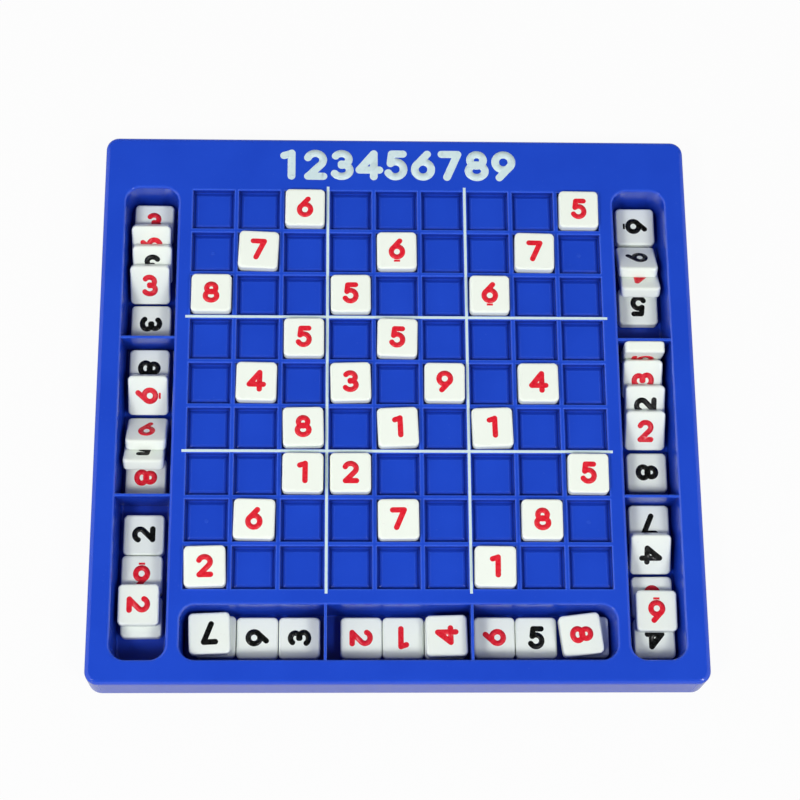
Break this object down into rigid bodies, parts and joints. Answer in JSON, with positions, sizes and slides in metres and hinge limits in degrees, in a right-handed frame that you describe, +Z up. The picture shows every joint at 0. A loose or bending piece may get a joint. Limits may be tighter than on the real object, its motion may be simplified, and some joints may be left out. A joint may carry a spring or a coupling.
{
  "type": "sudoku board",
  "caption": "Shallow moulded board with a nine by nine grid of recessed cells, divided trays round three sides and square lift-out number tiles.",
  "frame": {"origin": "middle of the board's outline, on the table it stands on", "axes": "+X to the board's right, +Y to its back edge behind the grid, +Z up"},
  "size_m": [0.2568, 0.2434, 0.0231],
  "materials": {
    "board_blue": "glossy moulded plastic",
    "tile_ivory": "glossy moulded plastic",
    "print_red": "printed ink",
    "print_black": "printed ink",
    "print_white": "printed ink"
  },
  "bodies": {
    "board": {"board": "board_blue"},
    "tile_row1_col3": {"tile_row1_col3": "tile_ivory"},
    "tile_row1_col9": {"tile_row1_col9": "tile_ivory"},
    "tile_row2_col2": {"tile_row2_col2": "tile_ivory"},
    "tile_row2_col5": {"tile_row2_col5": "tile_ivory"},
    "tile_row2_col8": {"tile_row2_col8": "tile_ivory"},
    "tile_row3_col1": {"tile_row3_col1": "tile_ivory"},
    "tile_row3_col4": {"tile_row3_col4": "tile_ivory"},
    "tile_row3_col7": {"tile_row3_col7": "tile_ivory"},
    "tile_row4_col3": {"tile_row4_col3": "tile_ivory"},
    "tile_row4_col5": {"tile_row4_col5": "tile_ivory"},
    "tile_row5_col2": {"tile_row5_col2": "tile_ivory"},
    "tile_row5_col4": {"tile_row5_col4": "tile_ivory"},
    "tile_row5_col6": {"tile_row5_col6": "tile_ivory"},
    "tile_row5_col8": {"tile_row5_col8": "tile_ivory"},
    "tile_row6_col3": {"tile_row6_col3": "tile_ivory"},
    "tile_row6_col5": {"tile_row6_col5": "tile_ivory"},
    "tile_row6_col7": {"tile_row6_col7": "tile_ivory"},
    "tile_row7_col3": {"tile_row7_col3": "tile_ivory"},
    "tile_row7_col4": {"tile_row7_col4": "tile_ivory"},
    "tile_row7_col9": {"tile_row7_col9": "tile_ivory"},
    "tile_row8_col2": {"tile_row8_col2": "tile_ivory"},
    "tile_row8_col5": {"tile_row8_col5": "tile_ivory"},
    "tile_row8_col8": {"tile_row8_col8": "tile_ivory"},
    "tile_row9_col1": {"tile_row9_col1": "tile_ivory"},
    "tile_row9_col7": {"tile_row9_col7": "tile_ivory"},
    "left_rear_heap": {"left_rear_heap": "tile_ivory"},
    "left_rear_heap_top": {"left_rear_heap_top": "tile_ivory"},
    "left_rear_end_tile": {"left_rear_end_tile": "tile_ivory"},
    "left_middle_rear_tile": {"left_middle_rear_tile": "tile_ivory"},
    "left_middle_rear_top": {"left_middle_rear_top": "tile_ivory"},
    "left_middle_heap": {"left_middle_heap": "tile_ivory"},
    "left_middle_heap_top": {"left_middle_heap_top": "tile_ivory"},
    "left_front_rear_tile": {"left_front_rear_tile": "tile_ivory"},
    "left_front_floor_tiles": {"left_front_floor_tiles": "tile_ivory"},
    "left_front_top_tile": {"left_front_top_tile": "tile_ivory"},
    "right_rear_end_tile": {"right_rear_end_tile": "tile_ivory"},
    "right_rear_heap": {"right_rear_heap": "tile_ivory"},
    "right_rear_heap_top": {"right_rear_heap_top": "tile_ivory"},
    "right_middle_edge_tile": {"right_middle_edge_tile": "tile_ivory"},
    "right_middle_heap": {"right_middle_heap": "tile_ivory"},
    "right_middle_heap_top": {"right_middle_heap_top": "tile_ivory"},
    "right_middle_end_tile": {"right_middle_end_tile": "tile_ivory"},
    "right_front_rear_tile": {"right_front_rear_tile": "tile_ivory"},
    "right_front_rear_top": {"right_front_rear_top": "tile_ivory"},
    "right_front_floor_tiles": {"right_front_floor_tiles": "tile_ivory"},
    "right_front_top_tile": {"right_front_top_tile": "tile_ivory"},
    "front_left_under_tile": {"front_left_under_tile": "tile_ivory"},
    "front_left_top_tile": {"front_left_top_tile": "tile_ivory"},
    "front_left_middle_tile": {"front_left_middle_tile": "tile_ivory"},
    "front_left_end_tile": {"front_left_end_tile": "tile_ivory"},
    "front_middle_end_tile": {"front_middle_end_tile": "tile_ivory"},
    "front_middle_tile": {"front_middle_tile": "tile_ivory"},
    "front_middle_under_tile": {"front_middle_under_tile": "tile_ivory"},
    "front_middle_top_tile": {"front_middle_top_tile": "tile_ivory"},
    "front_right_end_tile": {"front_right_end_tile": "tile_ivory"},
    "front_right_middle_tile": {"front_right_middle_tile": "tile_ivory"},
    "front_right_under_tile": {"front_right_under_tile": "tile_ivory"},
    "front_right_top_tile": {"front_right_top_tile": "tile_ivory"}
  },
  "joints": [
    {"name": "tile_row1_col3_lift", "type": "slide", "parent": "board", "child": "tile_row1_col3", "axis": [0, 0, 1], "range_m": [0, 0.03]},
    {"name": "tile_row1_col9_lift", "type": "slide", "parent": "board", "child": "tile_row1_col9", "axis": [0, 0, 1], "range_m": [0, 0.03]},
    {"name": "tile_row2_col2_lift", "type": "slide", "parent": "board", "child": "tile_row2_col2", "axis": [0, 0, 1], "range_m": [0, 0.03]},
    {"name": "tile_row2_col5_lift", "type": "slide", "parent": "board", "child": "tile_row2_col5", "axis": [0, 0, 1], "range_m": [0, 0.03]},
    {"name": "tile_row2_col8_lift", "type": "slide", "parent": "board", "child": "tile_row2_col8", "axis": [0, 0, 1], "range_m": [0, 0.03]},
    {"name": "tile_row3_col1_lift", "type": "slide", "parent": "board", "child": "tile_row3_col1", "axis": [0, 0, 1], "range_m": [0, 0.03]},
    {"name": "tile_row3_col4_lift", "type": "slide", "parent": "board", "child": "tile_row3_col4", "axis": [0, 0, 1], "range_m": [0, 0.03]},
    {"name": "tile_row3_col7_lift", "type": "slide", "parent": "board", "child": "tile_row3_col7", "axis": [0, 0, 1], "range_m": [0, 0.03]},
    {"name": "tile_row4_col3_lift", "type": "slide", "parent": "board", "child": "tile_row4_col3", "axis": [0, 0, 1], "range_m": [0, 0.03]},
    {"name": "tile_row4_col5_lift", "type": "slide", "parent": "board", "child": "tile_row4_col5", "axis": [0, 0, 1], "range_m": [0, 0.03]},
    {"name": "tile_row5_col2_lift", "type": "slide", "parent": "board", "child": "tile_row5_col2", "axis": [0, 0, 1], "range_m": [0, 0.03]},
    {"name": "tile_row5_col4_lift", "type": "slide", "parent": "board", "child": "tile_row5_col4", "axis": [0, 0, 1], "range_m": [0, 0.03]},
    {"name": "tile_row5_col6_lift", "type": "slide", "parent": "board", "child": "tile_row5_col6", "axis": [0, 0, 1], "range_m": [0, 0.03]},
    {"name": "tile_row5_col8_lift", "type": "slide", "parent": "board", "child": "tile_row5_col8", "axis": [0, 0, 1], "range_m": [0, 0.03]},
    {"name": "tile_row6_col3_lift", "type": "slide", "parent": "board", "child": "tile_row6_col3", "axis": [0, 0, 1], "range_m": [0, 0.03]},
    {"name": "tile_row6_col5_lift", "type": "slide", "parent": "board", "child": "tile_row6_col5", "axis": [0, 0, 1], "range_m": [0, 0.03]},
    {"name": "tile_row6_col7_lift", "type": "slide", "parent": "board", "child": "tile_row6_col7", "axis": [0, 0, 1], "range_m": [0, 0.03]},
    {"name": "tile_row7_col3_lift", "type": "slide", "parent": "board", "child": "tile_row7_col3", "axis": [0, 0, 1], "range_m": [0, 0.03]},
    {"name": "tile_row7_col4_lift", "type": "slide", "parent": "board", "child": "tile_row7_col4", "axis": [0, 0, 1], "range_m": [0, 0.03]},
    {"name": "tile_row7_col9_lift", "type": "slide", "parent": "board", "child": "tile_row7_col9", "axis": [0, 0, 1], "range_m": [0, 0.03]},
    {"name": "tile_row8_col2_lift", "type": "slide", "parent": "board", "child": "tile_row8_col2", "axis": [0, 0, 1], "range_m": [0, 0.03]},
    {"name": "tile_row8_col5_lift", "type": "slide", "parent": "board", "child": "tile_row8_col5", "axis": [0, 0, 1], "range_m": [0, 0.03]},
    {"name": "tile_row8_col8_lift", "type": "slide", "parent": "board", "child": "tile_row8_col8", "axis": [0, 0, 1], "range_m": [0, 0.03]},
    {"name": "tile_row9_col1_lift", "type": "slide", "parent": "board", "child": "tile_row9_col1", "axis": [0, 0, 1], "range_m": [0, 0.03]},
    {"name": "tile_row9_col7_lift", "type": "slide", "parent": "board", "child": "tile_row9_col7", "axis": [0, 0, 1], "range_m": [0, 0.03]},
    {"name": "left_rear_heap_lift", "type": "slide", "parent": "board", "child": "left_rear_heap", "axis": [0, 0, 1], "range_m": [0, 0.04]},
    {"name": "left_rear_heap_top_lift", "type": "slide", "parent": "left_rear_heap", "child": "left_rear_heap_top", "axis": [0, 0, 1], "range_m": [0, 0.04]},
    {"name": "left_rear_end_tile_lift", "type": "slide", "parent": "board", "child": "left_rear_end_tile", "axis": [0, 0, 1], "range_m": [0, 0.04]},
    {"name": "left_middle_rear_tile_lift", "type": "slide", "parent": "board", "child": "left_middle_rear_tile", "axis": [0, 0, 1], "range_m": [0, 0.04]},
    {"name": "left_middle_rear_top_lift", "type": "slide", "parent": "left_middle_rear_tile", "child": "left_middle_rear_top", "axis": [0, 0, 1], "range_m": [0, 0.04]},
    {"name": "left_middle_heap_lift", "type": "slide", "parent": "board", "child": "left_middle_heap", "axis": [0, 0, 1], "range_m": [0, 0.04]},
    {"name": "left_middle_heap_top_lift", "type": "slide", "parent": "left_middle_heap", "child": "left_middle_heap_top", "axis": [0, 0, 1], "range_m": [0, 0.04]},
    {"name": "left_front_rear_tile_lift", "type": "slide", "parent": "board", "child": "left_front_rear_tile", "axis": [0, 0, 1], "range_m": [0, 0.04]},
    {"name": "left_front_floor_tiles_lift", "type": "slide", "parent": "board", "child": "left_front_floor_tiles", "axis": [0, 0, 1], "range_m": [0, 0.04]},
    {"name": "left_front_top_tile_lift", "type": "slide", "parent": "left_front_floor_tiles", "child": "left_front_top_tile", "axis": [0, 0, 1], "range_m": [0, 0.04]},
    {"name": "right_rear_end_tile_lift", "type": "slide", "parent": "board", "child": "right_rear_end_tile", "axis": [0, 0, 1], "range_m": [0, 0.04]},
    {"name": "right_rear_heap_lift", "type": "slide", "parent": "board", "child": "right_rear_heap", "axis": [0, 0, 1], "range_m": [0, 0.04]},
    {"name": "right_rear_heap_top_lift", "type": "slide", "parent": "right_rear_heap", "child": "right_rear_heap_top", "axis": [0, 0, 1], "range_m": [0, 0.04]},
    {"name": "right_middle_edge_tile_lift", "type": "slide", "parent": "board", "child": "right_middle_edge_tile", "axis": [0, 0, 1], "range_m": [0, 0.04]},
    {"name": "right_middle_heap_lift", "type": "slide", "parent": "board", "child": "right_middle_heap", "axis": [0, 0, 1], "range_m": [0, 0.04]},
    {"name": "right_middle_heap_top_lift", "type": "slide", "parent": "right_middle_heap", "child": "right_middle_heap_top", "axis": [0, 0, 1], "range_m": [0, 0.04]},
    {"name": "right_middle_end_tile_lift", "type": "slide", "parent": "board", "child": "right_middle_end_tile", "axis": [0, 0, 1], "range_m": [0, 0.04]},
    {"name": "right_front_rear_tile_lift", "type": "slide", "parent": "board", "child": "right_front_rear_tile", "axis": [0, 0, 1], "range_m": [0, 0.04]},
    {"name": "right_front_rear_top_lift", "type": "slide", "parent": "right_front_rear_tile", "child": "right_front_rear_top", "axis": [0, 0, 1], "range_m": [0, 0.04]},
    {"name": "right_front_floor_tiles_lift", "type": "slide", "parent": "board", "child": "right_front_floor_tiles", "axis": [0, 0, 1], "range_m": [0, 0.04]},
    {"name": "right_front_top_tile_lift", "type": "slide", "parent": "right_front_floor_tiles", "child": "right_front_top_tile", "axis": [0, 0, 1], "range_m": [0, 0.04]},
    {"name": "front_left_under_tile_lift", "type": "slide", "parent": "board", "child": "front_left_under_tile", "axis": [0, 0, 1], "range_m": [0, 0.04]},
    {"name": "front_left_top_tile_lift", "type": "slide", "parent": "front_left_under_tile", "child": "front_left_top_tile", "axis": [0, 0, 1], "range_m": [0, 0.04]},
    {"name": "front_left_middle_tile_lift", "type": "slide", "parent": "board", "child": "front_left_middle_tile", "axis": [0, 0, 1], "range_m": [0, 0.04]},
    {"name": "front_left_end_tile_lift", "type": "slide", "parent": "board", "child": "front_left_end_tile", "axis": [0, 0, 1], "range_m": [0, 0.04]},
    {"name": "front_middle_end_tile_lift", "type": "slide", "parent": "board", "child": "front_middle_end_tile", "axis": [0, 0, 1], "range_m": [0, 0.04]},
    {"name": "front_middle_tile_lift", "type": "slide", "parent": "board", "child": "front_middle_tile", "axis": [0, 0, 1], "range_m": [0, 0.04]},
    {"name": "front_middle_under_tile_lift", "type": "slide", "parent": "board", "child": "front_middle_under_tile", "axis": [0, 0, 1], "range_m": [0, 0.04]},
    {"name": "front_middle_top_tile_lift", "type": "slide", "parent": "front_middle_under_tile", "child": "front_middle_top_tile", "axis": [0, 0, 1], "range_m": [0, 0.04]},
    {"name": "front_right_end_tile_lift", "type": "slide", "parent": "board", "child": "front_right_end_tile", "axis": [0, 0, 1], "range_m": [0, 0.04]},
    {"name": "front_right_middle_tile_lift", "type": "slide", "parent": "board", "child": "front_right_middle_tile", "axis": [0, 0, 1], "range_m": [0, 0.04]},
    {"name": "front_right_under_tile_lift", "type": "slide", "parent": "board", "child": "front_right_under_tile", "axis": [0, 0, 1], "range_m": [0, 0.04]},
    {"name": "front_right_top_tile_lift", "type": "slide", "parent": "front_right_under_tile", "child": "front_right_top_tile", "axis": [0, 0, 1], "range_m": [0, 0.04]}
  ]
}
